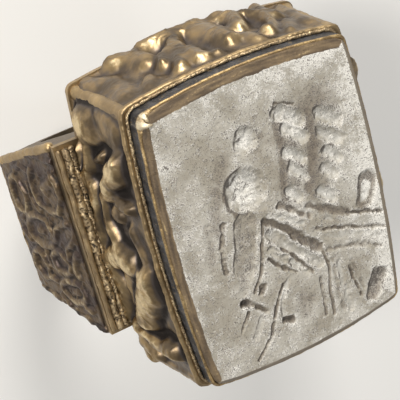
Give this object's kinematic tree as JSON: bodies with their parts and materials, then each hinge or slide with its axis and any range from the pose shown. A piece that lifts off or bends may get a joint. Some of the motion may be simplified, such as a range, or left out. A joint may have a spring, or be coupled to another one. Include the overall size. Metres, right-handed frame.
{
  "type": "signet ring",
  "caption": "Large box-headed signet ring in gilt bronze with raised side walls, keeled shoulders and an engraved cushion-shaped stone tablet in a thin collar.",
  "frame": {"origin": "centre of the finger hole, halfway along it", "axes": "+Z out of the stone's engraved face, +Y along the finger hole and the stone's long side, +X across the shoulders"},
  "size_m": [0.0286, 0.026, 0.0322],
  "materials": {
    "stone": "polished pale stone, engraved, with brown deposits in the cuts",
    "bedding": "dull filling",
    "bronze": "worn gilt bronze, dark in the hollows",
    "repousse": "raised sheet, gold on the high places and dark in the hollows",
    "collar": "thin dark sheet with a bright lip",
    "gilt_trim": "smooth worn gold",
    "grained_wire": "grained wire, bright on the grains"
  },
  "bodies": {
    "root": {"engraved_gem": "stone", "gem_bedding": "bedding", "gem_seat_plate": "bronze", "bezel_collar": "collar", "front_plate": "gilt_trim", "twisted_wire": "grained_wire", "base_plate": "bronze", "head_core": "bedding", "hoop_casing": "bronze", "hoop_liner": "bronze", "hoop_core": "bedding", "right_side_panel": "repousse", "upper_end_panel": "repousse", "left_side_panel": "repousse", "lower_end_panel": "repousse", "upper_right_corner_strip": "gilt_trim", "upper_left_corner_strip": "gilt_trim", "lower_left_corner_strip": "gilt_trim", "lower_right_corner_strip": "gilt_trim", "left_foot_rope": "grained_wire", "left_foot_wire": "gilt_trim", "left_upper_edge_bead": "gilt_trim", "left_lower_edge_bead": "gilt_trim", "left_scroll_near_head": "grained_wire", "left_scroll_at_middle": "grained_wire", "left_scroll_at_keel": "grained_wire", "left_scroll_low": "grained_wire", "left_scroll_between": "grained_wire", "left_scroll_at_edge": "grained_wire", "right_foot_rope": "grained_wire", "right_foot_wire": "gilt_trim", "right_upper_edge_bead": "gilt_trim", "right_lower_edge_bead": "gilt_trim", "right_scroll_near_head": "grained_wire", "right_scroll_at_middle": "grained_wire", "right_scroll_at_keel": "grained_wire", "right_scroll_low": "grained_wire", "right_scroll_between": "grained_wire", "right_scroll_at_edge": "grained_wire"}
  },
  "joints": []
}
